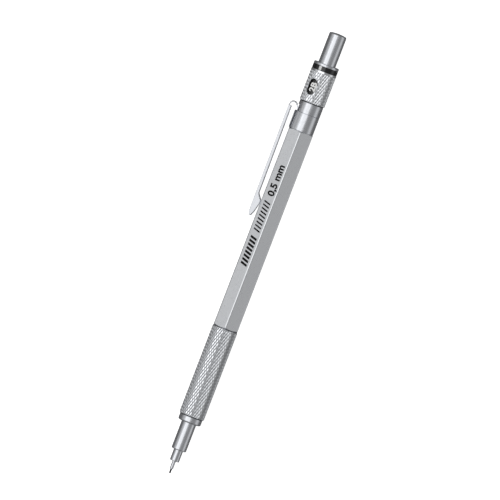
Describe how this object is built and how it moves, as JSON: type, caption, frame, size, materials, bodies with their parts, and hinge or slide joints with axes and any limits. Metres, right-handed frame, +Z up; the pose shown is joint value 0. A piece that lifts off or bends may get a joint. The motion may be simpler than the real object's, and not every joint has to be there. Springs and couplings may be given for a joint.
{
  "type": "mechanical pencil",
  "caption": "Metal mechanical drafting pencil with a hexagonal barrel, knurled grip, slim stepped tip, pocket clip, turning grade sleeve with a window, and a push button.",
  "frame": {"origin": "on the pencil's axis, half way along the knurled grip", "axes": "+X along the pencil from the tip to the push button; +Y out through the pocket clip; +Z up, square to both, so the barrel has flats facing +Y and -Y"},
  "size_m": [0.1459, 0.0107, 0.0088],
  "materials": {
    "bright_steel": "bright turned steel",
    "satin_chrome": "satin chrome plating",
    "knurled_metal": "diamond knurled, satin chrome plating",
    "satin_aluminium": "fine satin, silver",
    "spring_steel": "polished spring steel",
    "brass": "plain turned brass",
    "black_plastic": "black, smooth",
    "tube_plastic": "milky, smooth",
    "graphite": "dark grey, slightly shiny",
    "white_eraser": "soft white",
    "black_rubber": "matt black"
  },
  "bodies": {
    "pencil_body": {"lead_pipe": "bright_steel", "tip_sleeve": "bright_steel", "lead_retainer": "black_rubber", "nose": "satin_chrome", "grip": "knurled_metal", "clutch_housing": "brass", "return_spring": "spring_steel", "barrel_connector": "brass", "barrel": "satin_aluminium", "tail_bush": "satin_chrome", "clip_ring": "satin_chrome", "neck_ring": "satin_chrome", "grade_drum": "black_plastic", "drum_o_ring": "black_rubber"},
    "feed": {"lead_tube": "tube_plastic", "chuck": "brass", "spare_lead_left": "graphite", "spare_lead_right": "graphite"},
    "clutch": {"clutch_ring": "brass"},
    "writing_lead": {"lead": "graphite"},
    "eraser_holder": {"eraser": "white_eraser", "eraser_ferrule": "bright_steel"},
    "button": {"push_button": "satin_chrome"},
    "grade_dial": {"grade_sleeve": "knurled_metal"},
    "pocket_clip": {"clip": "spring_steel"}
  },
  "joints": [
    {"name": "push_slide", "type": "slide", "parent": "pencil_body", "child": "feed", "axis": [-1, 0, 0], "range_m": [0, 0.003], "stiffness_N_per_m": 800, "springref_m": -0.003, "deforming": ["return_spring"]},
    {"name": "clutch_ring_slide", "type": "slide", "parent": "pencil_body", "child": "clutch", "axis": [-1, 0, 0], "range_m": [0, 0.0006]},
    {"name": "lead_feed", "type": "slide", "parent": "pencil_body", "child": "writing_lead", "axis": [-1, 0, 0], "range_m": [-0.0014, 0.006]},
    {"name": "eraser_pull", "type": "slide", "parent": "feed", "child": "eraser_holder", "axis": [1, 0, 0], "range_m": [0, 0.012]},
    {"name": "button_pull", "type": "slide", "parent": "eraser_holder", "child": "button", "axis": [1, 0, 0], "range_m": [0, 0.02]},
    {"name": "grade_turn", "type": "hinge", "parent": "pencil_body", "child": "grade_dial", "pos_m": [0.09455, 0, 0], "axis": [1, 0, 0], "continuous": true},
    {"name": "clip_flex", "type": "hinge", "parent": "pencil_body", "child": "pocket_clip", "pos_m": [0.0858, 0.00325, 0], "axis": [0, 0, -1], "range_deg": [0, 4]}
  ],
  "couplings": [
    {"joint": "clutch_ring_slide", "follows": "push_slide", "ratio": 0.2}
  ]
}
